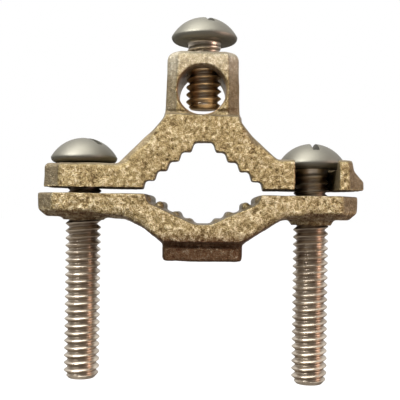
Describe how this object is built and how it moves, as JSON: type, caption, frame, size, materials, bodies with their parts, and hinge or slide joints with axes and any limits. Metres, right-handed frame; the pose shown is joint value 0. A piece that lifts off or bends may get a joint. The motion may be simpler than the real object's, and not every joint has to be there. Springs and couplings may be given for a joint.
{
  "type": "earth rod clamp",
  "caption": "Two-piece bronze clamp that two slotted screws draw onto an earth rod or pipe, with a boss that grips the earth wire under a set screw.",
  "frame": {"origin": "middle of the rod opening, halfway between the two parting faces and halfway along the castings", "axes": "+Y along the rod, away from the side slot's mouth; +Z along the screws towards their heads, which is the longest way; +X towards the slotted ear"},
  "size_m": [0.0552, 0.015, 0.0641],
  "materials": {
    "cast_bronze_upper": "sand-cast, gritty, lightly oxidised",
    "cast_bronze_lower": "sand-cast, gritty, browner beneath",
    "screw_steel": "satin, turned and rolled"
  },
  "bodies": {
    "upper": {"upper_jaw": "cast_bronze_upper"},
    "lower": {"lower_jaw": "cast_bronze_lower"},
    "left_screw": {"left_jaw_screw": "screw_steel"},
    "right_screw": {"right_jaw_screw": "screw_steel"},
    "wire_clamp": {"wire_screw": "screw_steel"}
  },
  "joints": [
    {"name": "jaw_travel", "type": "slide", "parent": "upper", "child": "lower", "axis": [0, 0, -1], "range_m": [-0.0006, 0.026]},
    {"name": "left_screw_turn", "type": "hinge", "parent": "upper", "child": "left_screw", "pos_m": [-0.0208, 0, 0], "axis": [0, 0, 1], "continuous": true},
    {"name": "right_screw_turn", "type": "hinge", "parent": "upper", "child": "right_screw", "pos_m": [0.0188, 0, 0], "axis": [0, 0, 1], "continuous": true},
    {"name": "wire_screw_travel", "type": "slide", "parent": "upper", "child": "wire_clamp", "axis": [0, 0, 1], "range_m": [0, 0.007]}
  ],
  "couplings": [
    {"joint": "left_screw_turn", "follows": "jaw_travel", "rad_per_m": 4947.4},
    {"joint": "right_screw_turn", "follows": "jaw_travel", "rad_per_m": 4947.4}
  ]
}
